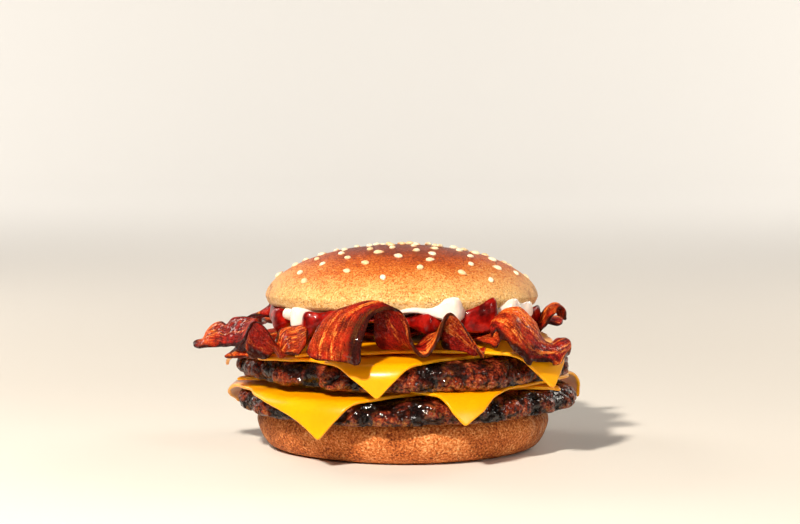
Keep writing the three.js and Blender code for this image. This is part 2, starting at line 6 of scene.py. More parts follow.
import bpy
import numpy as np
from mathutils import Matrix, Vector


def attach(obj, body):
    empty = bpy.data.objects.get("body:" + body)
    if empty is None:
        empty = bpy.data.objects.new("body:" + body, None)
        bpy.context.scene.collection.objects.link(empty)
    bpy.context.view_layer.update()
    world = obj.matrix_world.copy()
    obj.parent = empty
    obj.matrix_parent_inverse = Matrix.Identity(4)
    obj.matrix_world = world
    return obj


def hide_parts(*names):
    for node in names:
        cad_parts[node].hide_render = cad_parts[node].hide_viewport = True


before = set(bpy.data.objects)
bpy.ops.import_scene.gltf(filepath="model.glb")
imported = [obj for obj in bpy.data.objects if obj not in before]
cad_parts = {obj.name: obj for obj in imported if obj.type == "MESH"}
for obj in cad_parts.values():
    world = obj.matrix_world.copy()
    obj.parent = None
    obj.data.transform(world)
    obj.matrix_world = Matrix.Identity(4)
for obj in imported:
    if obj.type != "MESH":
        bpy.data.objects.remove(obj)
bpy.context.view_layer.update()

MM = 0.001
GAP = 0.3  # air between two layers
HEEL = {"radius": 50.8, "foot": 43.0, "height": 16.5}
HEEL_WAVES = [(2, 0.5, 30), (5, 0.25, 80)]
CROWN = {"radius": 47.7, "mouth": 44.6, "brow": 3.4, "dome": 17.9, "base": 48.5, "tilt": 3.0}
CROWN_WAVES = [(2, 0.4, 60), (3, 0.35, 10), (7, 0.15, 0)]
SEED = {"length": 3.5, "width": 2.2, "height": 1.5, "lift": 0.12, "count": 75, "sides": 12,
        "rows": 13}
PATTY_RADIUS = 57.6
PATTY_LUMPS = [(8, 0.4, 210), (13, 0.35, 20)]
NOTCH = {"deep": 1.9, "half": 4.5}
SLICE = {"side": 94.0, "thickness": 1.2, "gap": 0.8, "bend": 4.2, "before_rim": 2.1,
         "fine_from": 40.0}
STACK = 2 * (SLICE["thickness"] + GAP) + SLICE["gap"]
SAG = {"from": 34.0, "slope": 0.12}
KETCHUP_RADIUS = 44.4
SAUCE_DEPTH = 3.6
# A rasher climbs at most at rise past the sauce's rim, and drops at most at fall past the patty's.
RASHER = {"thickness": 1.6, "rest": 1.15, "width": 14.0, "back_level": 41.0, "rise": 1.2,
          "fall": 1.5, "row": 0.42, "columns": 44}
FLOOR = {"inner": 300.0, "flat": 1500.0, "bend": 900.0, "level": -0.05}
SIDES = {"bun": 720, "patty": 960, "slice_quarter": 170, "sauce": 900, "floor": 180}


def turn(a, b):
    """Degrees from b to a, the short way."""
    return (a - b + 540.0) % 360.0 - 180.0


def bump(distance, half):
    """A bell: 1 in its middle, and 1/e at half from it."""
    return np.exp(-((distance / half) ** 2))


def ripple(az, waves):
    """Sum of sine waves round the rim, each (count, height, shift in degrees)."""
    return sum(high * np.sin(np.radians(count * az + shift)) for count, high, shift in waves)


def sum_bumps(az, bumps):
    """Sum of bells round the rim, each (azimuth, half width in degrees, height)."""
    return sum(size * bump(turn(az, at), half) for at, half, size in bumps)


def azimuth_of(x, y):
    return np.degrees(np.arctan2(x, -y))


def on_rim(az, r, z):
    """Points at an azimuth, a radius and a height."""
    az, r, z = np.broadcast_arrays(np.radians(az), r, z)
    return np.stack([r * np.sin(az), -r * np.cos(az), z], -1)


def around(sides):
    """A column of azimuths, evenly spaced once round the axis."""
    return np.arange(sides)[:, None] * (360.0 / sides)


def unit(vectors):
    """Vectors brought to a length of one. One without a length stays zero."""
    return vectors / np.maximum(np.linalg.norm(vectors, axis=-1, keepdims=True), 1e-9)


def ease(low, high, value):
    """0 below low, 1 above high, and a smooth step between them."""
    t = np.clip((value - low) / (high - low), 0, 1)
    return t * t * (3 - 2 * t)


def chance(index, use):
    """A repeatable number from 0 to 1 for each whole number and use."""
    wave = np.sin(index * 12.9898 + use * 78.233) * 43758.5453
    return wave - np.floor(wave)


def lattice(cell, seed):
    """A repeatable number from 0 to 1 for each cell of a lattice: its three whole numbers, mixed
    bit by bit."""
    x, y, z = np.moveaxis(cell, -1, 0)
    mixed = (x * 374761393 + y * 668265263 + z * 1440662683 + seed * 974711) & 0xFFFFFFFF
    mixed = ((mixed ^ (mixed >> 13)) * 1274126177) & 0xFFFFFFFF
    return ((mixed ^ (mixed >> 16)) & 0xFFFF) / 65535.0


def lumps(points, size, seed):
    """Smooth heights from -1 to 1: random numbers at lattice corners size apart, eased between
    corners."""
    p = points / size
    base = np.floor(p).astype(np.int64)
    f = p - base
    f = f * f * (3 - 2 * f)
    total = np.zeros(p.shape[:-1])
    for corner in np.ndindex(2, 2, 2):
        c = np.array(corner)
        total += np.prod(np.where(c, f, 1 - f), axis=-1) * lattice(base + c, seed)
    return 2 * total - 1


def rough(points, size, seed, octaves=3):
    """Lumps upon lumps: each octave is half as large and half as high as the one before."""
    total = sum(lumps(points, size / 2**k, seed + k) / 2**k for k in range(octaves))
    return total / (2 - 2.0 ** (1 - octaves))


def nuggets(points, size, seed):
    """Rounded grains with creases between them: 1 less the squared distance, in sizes, to the
    nearest of points scattered one to a cell."""
    p = points / size
    base = np.floor(p).astype(np.int64)
    nearest = np.full(p.shape[:-1], 9.0)
    for corner in np.ndindex(3, 3, 3):
        cell = base + np.array(corner) - 1
        spot = cell + np.stack([lattice(cell, seed + k) for k in range(3)], -1)
        nearest = np.minimum(nearest, ((p - spot) ** 2).sum(-1))
    return 1 - nearest


def smooth(points, counts):
    """A smooth line through rows of points (..., row, 2), with counts[k] new rows in span k. At
    each row the line runs parallel to its two neighbours, as fast as the shorter span allows, so
    corners don't bulge."""
    step = np.diff(points, axis=-2)
    span = np.linalg.norm(step, axis=-1, keepdims=True)
    ahead = unit(step)
    heading = unit(np.concatenate([ahead[..., :1, :], ahead[..., :-1, :] + ahead[..., 1:, :],
                                   ahead[..., -1:, :]], -2))
    reach = np.minimum(span[..., :-1, :], span[..., 1:, :])
    pull = heading * np.concatenate([span[..., :1, :], reach, span[..., -1:, :]], -2)
    rows = []
    for k, count in enumerate(counts):
        last = k == len(counts) - 1
        u = np.linspace(0, 1, count + last, endpoint=last)[:, None]
        a, b = points[..., k:k + 1, :], points[..., k + 1:k + 2, :]
        pa, pb = pull[..., k:k + 1, :], pull[..., k + 1:k + 2, :]
        rows.append((2 * u**3 - 3 * u**2 + 1) * a + (u**3 - 2 * u**2 + u) * pa
                    + (3 * u**2 - 2 * u**3) * b + (u**3 - u**2) * pb)
    return np.concatenate(rows, -2)


def rim_rows(profile, counts):
    """Radii and heights of a smooth line at each azimuth, through a profile of (radius, height)
    pairs."""
    pairs = [np.broadcast_arrays(*pair) for pair in profile]
    rows = np.stack([np.concatenate([pair[k] for pair in pairs], 1) for k in (0, 1)], -1)
    return np.moveaxis(smooth(rows, counts), -1, 0)


def grid_normals(grid, wrap=True):
    """Unit normals of a grid of points: the cross product of its two directions. wrap closes the
    first."""
    first = np.roll(grid, -1, 0) - np.roll(grid, 1, 0) if wrap else np.gradient(grid, axis=0)
    return unit(np.cross(first, np.gradient(grid, axis=1)))


def swell(grid, far):
    """The points of a round grid moved outwards, each by its own distance."""
    return grid + grid_normals(grid) * far[..., None]


def weave(at, after):
    """Faces of four corners between rows of point numbers and the rows after them."""
    return np.stack([at[..., :-1], after[..., :-1], after[..., 1:], at[..., 1:]], -1).reshape(-1, 4)


def put_mesh(name, points, quads, triangles=(), fields=None, uv=None):
    """An object from arrays: points in millimetres, faces of four and of three corners, named
    numbers for each point, and a flat map."""
    sizes = np.r_[np.full(len(quads), 4), np.full(len(triangles), 3)]
    corners = np.r_[np.ravel(quads), np.ravel(triangles)].astype(np.int32)
    mesh = bpy.data.meshes.new(name)
    mesh.vertices.add(len(points))
    mesh.vertices.foreach_set("co", (points * MM).astype(np.float32).ravel())
    mesh.loops.add(len(corners))
    mesh.loops.foreach_set("vertex_index", corners)
    mesh.polygons.add(len(sizes))
    mesh.polygons.foreach_set("loop_start", np.r_[0, np.cumsum(sizes)[:-1]].astype(np.int32))
    mesh.update(calc_edges=True)
    mesh.shade_smooth()
    for key, values in (fields or {}).items():
        data = mesh.attributes.new(key, "FLOAT", "POINT").data
        data.foreach_set("value", values.astype(np.float32).ravel())
    if uv is not None:
        data = mesh.uv_layers.new(name="lengthwise").data
        data.foreach_set("uv", uv[corners].astype(np.float32).ravel())
    piece = bpy.data.objects.new(name, mesh)
    bpy.context.scene.collection.objects.link(piece)
    return piece


def dress(piece, material, node):
    """The piece gets its material and stands for a node of the frame."""
    piece.data.materials.append(material)
    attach(piece, "root")
    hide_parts(node)


def round_piece(name, grid, fields=None):
    """A closed round skin: grid is (side, ring, 3) from the axis below, round the rim, to the axis
    above. Its first and last ring are drawn together into one point each."""
    sides, rings = grid.shape[0], grid.shape[1] - 2
    points = np.r_[grid[:1, 0], grid[:, 1:-1].reshape(-1, 3), grid[:1, -1]]
    at = 1 + np.arange(sides * rings).reshape(sides, rings)
    after, below = np.roll(at, -1, 0), np.zeros(sides, int)
    above = below + len(points) - 1
    triangles = np.r_[np.c_[below, after[:, 0], at[:, 0]], np.c_[above, at[:, -1], after[:, -1]]]
    flat = {key: np.r_[values[:1, 0], values[:, 1:-1].ravel(), values[:1, -1]]
            for key, values in (fields or {}).items()}
    return put_mesh(name, points, weave(at, after), triangles, flat)


def sheet_piece(name, middle, half, fields, uv):
    """A closed thin skin: middle is a grid of points, and half, which is 0 all along its edge, is
    how far each face stands off it. The two faces share the points of the edge."""
    shape = middle.shape[:2]
    lift = grid_normals(middle, wrap=False) * half[..., None]
    inside = np.zeros(shape, bool)
    inside[1:-1, 1:-1] = True
    upper = np.arange(middle[..., 0].size).reshape(shape)
    lower = upper.copy()
    lower[inside] = upper.size + np.arange(inside.sum())
    points = np.r_[(middle + lift).reshape(-1, 3), (middle - lift)[inside]]
    doubled = {key: np.r_[v.ravel(), v[inside]] for key, v in fields.items()}
    face = np.r_[np.ones(upper.size), np.zeros(inside.sum())]
    both = np.r_[uv.reshape(-1, 2), uv[inside] + (0, 0.5)]
    quads = np.r_[weave(upper[:-1], upper[1:]), weave(lower[:-1], lower[1:])[:, ::-1]]
    return put_mesh(name, points, quads, fields={**doubled, "face": face}, uv=both)


def colour(red, green, blue):
    """A colour as a screen shows it, 0 to 255, for a shader, which counts light."""
    share = np.array([red, green, blue]) / 255.0
    light = np.where(share > 0.04045, ((share + 0.055) / 1.055) ** 2.4, share / 12.92)
    return (*light.tolist(), 1.0)


class Amount:
    """A socket with one number for each point of a surface. Sums and products of it add Math
    nodes."""

    def __init__(self, finish, socket):
        self.finish, self.socket = finish, socket

    def math(self, operation, first, second, clamp=False):
        made = self.finish.node("ShaderNodeMath", {"operation": operation, "use_clamp": clamp},
                                {0: first, 1: second})
        return Amount(self.finish, made.outputs[0])

    def __add__(self, other):
        return self.math("ADD", self, other)

    def __radd__(self, other):
        return self.math("ADD", other, self)

    def __sub__(self, other):
        return self.math("SUBTRACT", self, other)

    def __rsub__(self, other):
        return self.math("SUBTRACT", other, self)

    def __mul__(self, other):
        return self.math("MULTIPLY", self, other)

    def step(self, low, high):
        """0 below low and 1 above high."""
        return self.math("MULTIPLY", self - low, 1.0 / (high - low), clamp=True)


class Finish:
    """A material in the making. Patterns are measured in millimetres on the object."""

    def __init__(self, name, fixed, soft=None):
        """fixed gives sockets one value. soft is how much light goes under the skin, and how many
        millimetres its red, green and blue go there."""
        self.material = bpy.data.materials.new(name)
        self.material.use_nodes = True
        self.tree = self.material.node_tree
        self.shader = self.tree.nodes["Principled BSDF"]
        if soft:
            fixed = {**fixed, "Subsurface Weight": soft[0], "Subsurface Scale": 1.0,
                     "Subsurface Radius": [MM * far for far in soft[1]]}
        for key, value in fixed.items():
            self.shader.inputs[key].default_value = value
        self.place = self.node("ShaderNodeTexCoord").outputs["Object"]

    def node(self, kind, settings=None, inputs=None):
        """A node of one kind: its settings first, then the values or links of its sockets."""
        made = self.tree.nodes.new(kind)
        for key, value in (settings or {}).items():
            if key == "stops":
                ramp = made.color_ramp
                while len(ramp.elements) < len(value):
                    ramp.elements.new(0.5)
                for element, (at, tone) in zip(ramp.elements, value):
                    element.position, element.color = at, tone
            else:
                setattr(made, key, value)
        for key, value in (inputs or {}).items():
            self.link(made.inputs[key] if isinstance(key, int) else self.socket(made, key), value)
        return made

    def socket(self, node, key):
        return next(s for s in node.inputs if key in (s.identifier, s.name))

    def link(self, socket, value):
        if isinstance(value, Amount):
            value = value.socket
        if isinstance(value, bpy.types.NodeSocket):
            self.tree.links.new(value, socket)
        else:
            socket.default_value = value

    def field(self, name):
        """A number that the mesh keeps for each point."""
        made = self.node("ShaderNodeAttribute", {"attribute_name": name})
        return Amount(self, made.outputs["Fac"])

    def scaled(self, size, stretch, source):
        """Where a pattern is read: in its own sizes, drawn out by stretch."""
        scale = tuple(1.0 / (MM * size * s) for s in stretch)
        moved = self.node("ShaderNodeMapping", {}, {"Vector": source or self.place, "Scale": scale})
        return moved.outputs[0]

    def grain(self, size, detail=2.0, stretch=(1, 1, 1), source=None, warp=0.0):
        """Cloudy noise from 0 to 1 with blots about size mm across, drawn out by stretch."""
        place = self.scaled(size, stretch, source)
        made = self.node("ShaderNodeTexNoise", {}, {"Vector": place, "Scale": 1.0, "Detail": detail,
                                                    "Distortion": warp})
        return Amount(self, made.outputs[0])

    def cells(self, size):
        """Distance in sizes to the nearest of scattered points."""
        place = self.scaled(size, (1, 1, 1), None)
        made = self.node("ShaderNodeTexVoronoi", {}, {"Vector": place, "Scale": 1.0})
        return Amount(self, made.outputs["Distance"])

    def ramp(self, amount, stops):
        """The colour at an amount, from (amount, colour) stops."""
        stops = [(at, colour(*tone)) for at, tone in stops]
        return self.node("ShaderNodeValToRGB", {"stops": stops}, {"Fac": amount}).outputs[0]

    def mix(self, amount, below, above, blend="MIX"):
        """A colour that goes from below to above as the amount goes from 0 to 1. above may be a
        colour's three numbers."""
        if isinstance(above, tuple):
            above = colour(*above)
        made = self.node("ShaderNodeMix", {"data_type": "RGBA", "blend_type": blend},
                         {"Factor_Float": amount, "A_Color": below, "B_Color": above})
        return next(s for s in made.outputs if s.identifier == "Result_Color")

    def relief(self, height, depth, strength=1.0):
        """Height, 0 to 1, seen as relief of that depth in mm."""
        made = self.node("ShaderNodeBump", {}, {"Strength": strength, "Distance": depth * MM,
                                                "Height": height})
        self.link(self.shader.inputs["Normal"], made.outputs[0])

    def wear(self, tone, roughness, coat=None):
        """What changes over the surface: its colour, its roughness and its gloss."""
        for key, value in (("Base Color", tone), ("Roughness", roughness), ("Coat Weight", coat)):
            if value is not None:
                self.link(self.shader.inputs[key], value)
        return self.material


def crust_finish():
    """Glazed crust: dark orange-brown on top, golden further down with its middle band lightened as
    a painted highlight, cream at the rim and wrinkled at the sides with painted shade in the
    creases, with fine pores that get painted shade low down."""
    f = Finish("glazed_crust", {"Coat Roughness": 0.3, "Specular IOR Level": 0.2},
               (0.05, (3, 1.5, 0.8)))
    up, side = f.field("up"), f.field("side")
    blot = f.grain(11, 3.0)
    fine = f.grain(1.0, 4.0)
    grit = f.grain(0.5)
    sandy = (fine - 0.5) * 0.55 + (grit - 0.5) * 0.45
    level = up + (blot - 0.5) * 0.45 + sandy * (1.8 - up)
    # Height gradient: the dark top and cream rim are the bake; the middle band is lighter as
    # painted highlight.
    tone = f.ramp(level, [(0.0, (244, 208, 150)), (0.14, (234, 188, 118)), (0.28, (226, 172, 98)),
                          (0.42, (222, 158, 88)), (0.56, (212, 124, 50)), (0.74, (190, 80, 20)),
                          (0.95, (112, 36, 10))])
    pale = f.ramp(fine, [(0.34, (190, 116, 62)), (0.6, (240, 202, 152))])
    tone = f.mix(side * 0.7, tone, pale)
    pores = f.cells(0.9)
    # Painted shade in the pores of the lower crust, which the relief also sinks.
    shaded_pore = (1.0 - pores.step(0.14, 0.36)) * (1.0 - up.step(0.15, 0.7))
    shaded_pore = shaded_pore * f.grain(2.4).step(0.4, 0.56)
    tone = f.mix(shaded_pore * 0.75, tone, (140, 78, 26))
    tone = f.mix(grit.step(0.52, 0.7) * (up + 0.2) * 0.7, tone, (120, 46, 14))
    creases = f.grain(1.6, 3.0, (1, 1, 2.2), warp=0.6)
    # Painted shade in the creases of the side wrinkles.
    tone = f.mix(side * (1.0 - creases.step(0.38, 0.5)) * 0.7, tone, (150, 82, 42))
    f.relief(fine * 0.6 + grit * 0.6 - shaded_pore * 0.5 + creases * side * 0.9, 0.45)
    return f.wear(tone, 0.45 + (fine - 0.5) * 0.3 + side * 0.15, up.step(0.45, 0.9) * 0.15)


def bread_finish():
    """Matt heel: toasted tan with a sandy grain; at its sides wrinkles with painted highlight on
    their ridges, painted shade in their creases and a painted shade over the whole side; painted
    shade in the pores near its foot."""
    f = Finish("toasted_bread", {"Specular IOR Level": 0.2}, (0.05, (3, 1.5, 0.8)))
    side, up = f.field("side"), f.field("up")
    sand = f.grain(0.75, 4.0)
    grit = f.grain(0.5)
    blot = f.grain(9, 3.0)
    tone = f.ramp(sand * 0.7 + grit * 0.3 + (blot - 0.5) * 0.3,
                  [(0.34, (104, 44, 16)), (0.44, (176, 90, 38)), (0.54, (212, 122, 60)),
                   (0.68, (244, 182, 118))])
    crinkle = f.grain(1.5, 3.0, (1, 1, 2.6), warp=0.8)
    # Painted highlight on the ridges of the side wrinkles, then painted shade in their creases.
    tone = f.mix(side * crinkle.step(0.5, 0.62) * 0.7, tone, (214, 178, 138))
    tone = f.mix(side * (1.0 - crinkle.step(0.36, 0.5)) * 0.8, tone, (86, 46, 26))
    pits = f.cells(1.7)
    # Painted shade in the pores near the foot, which the relief also sinks.
    shaded_pit = (1.0 - pits.step(0.1, 0.3)) * f.grain(5).step(0.5, 0.6) * (1.0 - up.step(0.25, 0.6))
    tone = f.mix(shaded_pit * 0.85, tone, (76, 34, 16))
    # Painted shade over the left and right sides and the back of the heel.
    tone = f.mix(side * 0.35, tone, (110, 66, 42), "MULTIPLY")
    f.relief(sand + grit * 0.5 + crinkle * side * 1.4 - shaded_pit * 0.8, 0.6)
    return f.wear(tone, 0.75 + (sand - 0.5) * 0.3)


def beef_finish():
    """Grilled mince: dark reddish brown, charred black in its notches, tan where fat shows, painted
    shade in the creases between its grains, and wet."""
    f = Finish("grilled_beef", {"Coat Roughness": 0.07, "Specular IOR Level": 0.06})
    char, fat, crease = f.field("char"), f.field("fat"), f.field("crease")
    blot = f.grain(3.2, 4.0)
    fine = f.grain(0.8, 4.0)
    tone = f.ramp(blot * 0.5 + fine * 0.5, [(0.38, (28, 5, 3)), (0.47, (84, 23, 12)),
                                            (0.57, (136, 50, 27)), (0.69, (194, 116, 68))])
    tone = f.mix(fat * f.grain(1.1, 3.0).step(0.47, 0.58) * 0.8, tone, (168, 108, 54))
    # Painted shade in the creases between the grains of mince.
    tone = f.mix(crease * 0.9, tone, (16, 4, 3))
    tone = f.mix((char + (fine - 0.5) * 1.2).step(0.3, 0.65) * 0.97, tone, (5, 3, 3))
    wet = f.grain(1.3, 3.0).step(0.42, 0.5)
    f.relief(fine + f.grain(1.5, 3.0) * 1.2, 1.0)
    return f.wear(tone, 0.55 - wet * 0.2, wet * (char * 0.5 + 0.45))


def cheese_finish():
    """Smooth processed cheese, satin and slightly see-through, in faint clouds of yellow and
    orange."""
    f = Finish("cheese", {"Specular IOR Level": 0.3, "Coat Weight": 0.1, "Coat Roughness": 0.2},
               (0.25, (4, 2, 0.5)))
    blot = f.grain(16)
    fine = f.grain(1.2)
    tone = f.ramp(blot * 0.8 + fine * 0.2, [(0.3, (250, 152, 0)), (0.55, (253, 166, 0)),
                                            (0.75, (255, 180, 4))])
    f.relief(f.grain(5) * 0.8 + fine * 0.12, 0.25, 0.5)
    return f.wear(tone, 0.3 + (blot - 0.5) * 0.12)


def bacon_finish():
    """Fried bacon: dark red lean, orange streaks of fat along it, undersides darkened as painted
    shade, blackened patches and beads of grease."""
    f = Finish("fried_bacon", {"Coat Roughness": 0.06, "Specular IOR Level": 0.06},
               (0.05, (3, 1, 0.5)))
    flat = f.node("ShaderNodeTexCoord").outputs["UV"]
    fat, char, tan = f.field("fat"), f.field("char"), f.field("tan")
    fibre = f.grain(0.9, 4.0, (5, 1, 1), flat, 0.6)
    thread = f.grain(0.4, 3.0, (6, 1, 1), flat, 0.3)
    blot = f.grain(3.0, 4.0)
    fine = f.grain(0.55, 3.0)
    lean = f.ramp(fibre * 0.4 + blot * 0.35 + fine * 0.25,
                  [(0.38, (34, 2, 2)), (0.46, (98, 7, 4)), (0.55, (158, 20, 8)),
                   (0.68, (204, 54, 18))])
    rich = f.ramp(fibre * 0.35 + fine * 0.4 + thread * 0.25,
                  [(0.38, (164, 36, 8)), (0.49, (224, 88, 20)), (0.62, (252, 168, 78))])
    streak = fat + (fibre - 0.5) * 1.2 + (thread - 0.5) * 0.7 + (fine - 0.5) * 0.6
    tone = f.mix(streak.step(0.25, 0.65) * 0.92, lean, rich)
    tone = f.mix(tan * 0.6 * (thread + 0.2), tone, rich)
    # Painted shade: the darker colour of each rasher's lower face, its underside.
    dark = f.ramp(fine, [(0.3, (48, 4, 3)), (0.7, (128, 20, 10))])
    tone = f.mix((1.0 - f.field("face")) * 0.65, tone, dark)
    burnt = (char + (fine - 0.5) + (fibre - 0.5) * 0.8).step(0.4, 0.8)
    tone = f.mix(burnt * 0.92, tone, (22, 4, 3))
    bead = f.grain(1.1, 3.0).step(0.53, 0.6)
    f.relief(fibre * 0.8 + fine * 0.7 + f.grain(1.8) * 0.5, 0.6)
    return f.wear(tone, 0.55 - bead * 0.15, bead * (burnt * 0.5 + 0.3))


def ketchup_finish():
    """Deep red glossy tomato sauce."""
    f = Finish("ketchup", {"Coat Weight": 0.22, "Coat Roughness": 0.05, "Specular IOR Level": 0.1},
               (0.2, (3, 0.6, 0.4)))
    blot = f.grain(3.5, 3.0)
    tone = f.ramp(blot, [(0.34, (70, 4, 3)), (0.5, (132, 10, 6)), (0.66, (176, 26, 14))])
    f.relief(f.grain(2.4, 3.0), 0.5, 0.6)
    return f.wear(tone, 0.3 + (f.grain(1.2) - 0.5) * 0.12)


def mayonnaise_finish():
    """Thick off-white sauce with a faint pink cast."""
    f = Finish("mayonnaise", {"Coat Weight": 0.35, "Coat Roughness": 0.15}, (0.4, (4, 3, 2)))
    tone = f.ramp(f.grain(5), [(0.3, (240, 214, 202)), (0.7, (252, 238, 228))])
    f.relief(f.grain(3.2), 0.4, 0.5)
    return f.wear(tone, 0.26 + (f.grain(1.5) - 0.5) * 0.1)


def seed_finish():
    """Toasted sesame seeds: ivory, browner at the pointed end, each a little different."""
    f = Finish("sesame_seed", {"Coat Weight": 0.15, "Coat Roughness": 0.3}, (0.2, (1.5, 1, 0.6)))
    shade = f.field("shade") * 0.7 + f.grain(0.5) * 0.3
    tone = f.ramp(shade, [(0.1, (228, 190, 138)), (0.5, (242, 218, 180)),
                          (0.9, (250, 236, 210))])
    tone = f.mix(f.field("tip") * 0.85, tone, (188, 122, 60))
    f.relief(f.grain(0.35), 0.08, 0.6)
    return f.wear(tone, 0.42 + (f.grain(0.4) - 0.5) * 0.2)


def on_lid(points):
    """Points of the crown and the sauces, tipped back about X and lifted to the crown's base."""
    c, s = math.cos(math.radians(CROWN["tilt"])), math.sin(math.radians(CROWN["tilt"]))
    x, y, z = np.moveaxis(points, -1, 0)
    return np.stack([x, c * y + s * z, CROWN["base"] - s * y + c * z], -1)


def side_share(az):
    """1 at the left and right side of the bun and behind it, where the skin is wrinkled with
    painted
    shade in its creases: pale on the crown, and on the heel with painted highlight on the ridges
    and painted shade over it."""
    return ease(52, 88, np.abs(turn(az, 0)) + 8 * np.sin(np.radians(7 * az)))


def heel():
    """Rim profiles from the foot up, carried round the axis, with low dents and upright
    wrinkles."""
    az = around(SIDES["bun"])
    out = ripple(az, HEEL_WAVES)
    radius, foot, height = HEEL["radius"] + out, HEEL["foot"] + out, HEEL["height"]
    shoulder, zero = radius - 5.6, 0 * out
    r, z = rim_rows([(zero, 0), (foot - 8, 0), (foot, 0), (foot + 3.6, 1.2), (radius - 1.6, 4.4),
                     (radius, 9), (radius - 0.6, 12), (radius - 2.6, 14.3),
                     (shoulder, height + sag(shoulder)), (zero + SAG["from"], height),
                     (zero, height)], [3, 6, 10, 14, 16, 14, 12, 12, 16, 3])
    grid = on_rim(az, r, z)
    side = side_share(az) + 0 * r
    wall = ease(0.2, 3, z) * ease(36, 44, r)
    dent = 0.3 * rough(grid, 14, 3) + 0.1 * rough(grid, 2.2, 5)
    wrinkle = -0.32 * np.abs(rough(grid * (1, 1, 0.4), 2.6, 11)) * side
    grid = swell(grid, wall * (dent + wrinkle))
    grid[..., 2] = np.maximum(grid[..., 2], 0)
    return round_piece("heel_of_bun", grid, {"side": side, "up": z / height})


def dome_height(share):
    """Height of the dome above the crown's mouth at a share of its radius."""
    return CROWN["brow"] + CROWN["dome"] * np.maximum(1 - share**2, 0) ** 0.56


def crown():
    """A dome: its height is a power of one less the squared share of the radius. Below its brow it
    turns in to a flat cut face. Dents and wrinkles stand on the dome."""
    az = around(SIDES["bun"])
    out = ripple(az, CROWN_WAVES)
    radius, mouth, zero = CROWN["radius"] + out, CROWN["mouth"] + out, 0 * out
    shares = np.cos(np.radians(np.linspace(0, 90, 25)))[1:]
    low = [(zero, 0), (mouth - 8, 0), (mouth, 0), (mouth + 1.9, 1), (radius, CROWN["brow"])]
    r, z = rim_rows(low + [(radius * share, dome_height(share)) for share in shares],
                    [4, 10, 8, 8] + [4] * len(shares))
    grid = on_rim(az, r, z)
    up = z / (CROWN["brow"] + CROWN["dome"])
    side = side_share(az) * (1 - ease(0.3, 0.62, up))
    dent = 0.35 * rough(grid, 20, 21) + 0.07 * rough(grid, 2.4, 23)
    wrinkle = -0.7 * np.abs(rough(grid * (1, 1, 0.35), 2.2, 31)) * side
    grid = swell(grid, ease(0.5, 2.5, z) * (dent + wrinkle))
    return round_piece("crown_of_bun", on_lid(grid), {"side": side, "up": up})


def seeds():
    """Teardrops on a golden-angle spiral over the dome, each turned and moved a little by chance. A
    seed's width is a power of a sine along it."""
    index = np.arange(SEED["count"])
    az = index * 137.508 + 14 * (chance(index, 1) - 0.5)
    share = 0.94 * ((index + 0.5 + 0.7 * chance(index, 2)) / (SEED["count"] + 1)) ** 0.66
    spin, size = 2 * np.pi * chance(index, 3), 0.86 + 0.28 * chance(index, 4)
    radius = CROWN["radius"] + ripple(az, CROWN_WAVES)
    place = on_rim(az, radius * share, dome_height(share))
    outwards = on_rim(az, radius * (share + 0.02), dome_height(share + 0.02)) - place
    across = on_rim(az + 90, 1, 0)
    normal = unit(np.cross(outwards, across))
    normal *= np.sign(normal[:, 2:])
    first = unit(np.cross((0.0, 1.0, 0.0), normal))
    along_x = np.cos(spin)[:, None] * first + np.sin(spin)[:, None] * np.cross(normal, first)
    along_y = np.cross(normal, along_x)
    sides, rows = SEED["sides"], SEED["rows"]
    u = np.linspace(0, 1, rows)
    wide = np.sin(np.pi * u**0.72) ** 0.9 * 0.5
    wide[[0, -1]] = 0
    angle = np.radians(np.arange(sides) * 360.0 / sides)
    ring = np.stack([np.broadcast_to(u - 0.5, (sides, rows)), np.outer(np.sin(angle), wide),
                     -np.outer(np.cos(angle), wide)], -1)
    local = ring * (SEED["length"], SEED["width"], SEED["height"]) * size[:, None, None, None]
    centre = place + normal * SEED["lift"] * SEED["height"]
    world = centre[:, None, None]
    for k, axis in enumerate((along_x, along_y, normal)):
        world = world + local[..., k:k + 1] * axis[:, None, None]
    world = on_lid(world)
    inner, ends = world[:, :, 1:-1], world[:, 0][:, [0, -1]]
    points = np.r_[inner.reshape(-1, 3), ends.reshape(-1, 3)]
    at = np.arange(inner[..., 0].size).reshape(inner.shape[:3])
    after = np.roll(at, -1, 1)
    pole = at.size + 2 * index[:, None] + 0 * at[..., 0]
    triangles = np.r_[np.stack([pole, after[..., 0], at[..., 0]], -1).reshape(-1, 3),
                      np.stack([pole + 1, at[..., -1], after[..., -1]], -1).reshape(-1, 3)]
    shade = chance(index, 5)
    shade = np.r_[np.repeat(shade, sides * (rows - 2)), np.repeat(shade, 2)]
    tip = np.r_[np.tile(ease(0.6, 1, u[1:-1]), sides * len(index)), np.tile([0, 1], len(index))]
    fields = {"shade": shade, "tip": tip}
    return put_mesh("sesame_seeds", points, weave(at, after), triangles, fields)


class Patty:
    """A rough disc: its radius is a circle with waves and lobes, and its top a plane that droops
    past the heel."""

    def __init__(self, under, thickness, wedge, waves, lobes, notches, seed):
        self.under, self.thickness, self.wedge = under, thickness, wedge
        self.waves, self.lobes, self.notches, self.seed = waves, lobes, notches, seed

    def base(self, r, az):
        if self.under:
            return self.under.flat_top(r, az) + STACK
        return HEEL["height"] + GAP + 0 * r * az

    def flat_top(self, r, az):
        slope, toward = self.wedge
        return self.base(r, az) + self.thickness + slope * r * np.cos(np.radians(az - toward))

    def top(self, r, az):
        return self.flat_top(r, az) + sag(r)

    def rim(self, az):
        return PATTY_RADIUS + ripple(az, self.waves) + sum_bumps(az, self.lobes)


def sag(r):
    """How far a layer droops at a radius: a straight slope past the middle."""
    return -SAG["slope"] * np.maximum(r - SAG["from"], 0)


